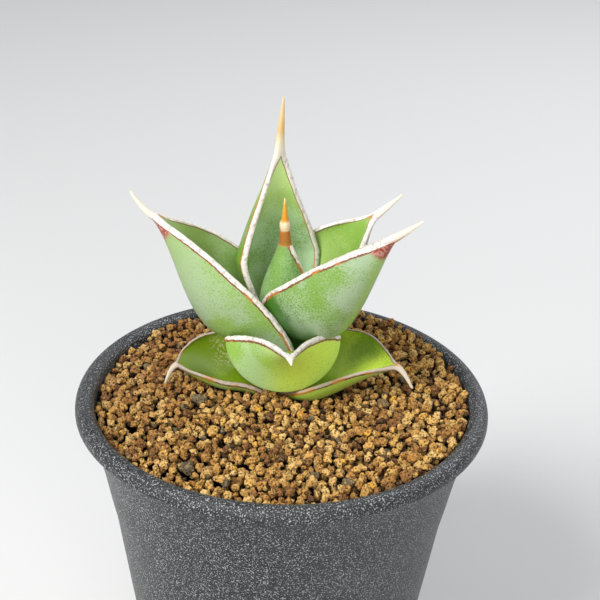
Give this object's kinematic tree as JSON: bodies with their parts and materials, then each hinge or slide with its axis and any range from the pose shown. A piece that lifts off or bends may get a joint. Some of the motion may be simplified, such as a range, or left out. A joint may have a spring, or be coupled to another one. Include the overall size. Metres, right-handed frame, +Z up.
{
  "type": "potted sansevieria succulent",
  "caption": "Small rosette of stiff channelled leaves with spined tips, in a round flared pot filled with baked clay granules; stands on its ring foot.",
  "frame": {"origin": "middle of the circle that the pot's foot stands on", "axes": "+Z up along the pot's axis, -Y towards the side the picture is taken from, +X to the right in the picture"},
  "size_m": [0.11, 0.11, 0.1743],
  "materials": {
    "pot_plastic": "charcoal plastic with a fine spark-grain texture and a soft sheen",
    "clay_granules": "dry porous granules, tan to brown, matt",
    "root": "pale fibrous root skin, matt",
    "leaf": "hard green skin with a silvery bloom, a white papery margin edged red-brown, and a cream to orange spine"
  },
  "bodies": {
    "root": {"pot": "pot_plastic", "soil": "clay_granules", "rootstock": "root", "leaf_low_right": "leaf", "leaf_low_left": "leaf", "leaf_front": "leaf", "leaf_back_right": "leaf", "leaf_left": "leaf", "leaf_right": "leaf", "leaf_back": "leaf", "leaf_spear": "leaf"}
  },
  "joints": []
}
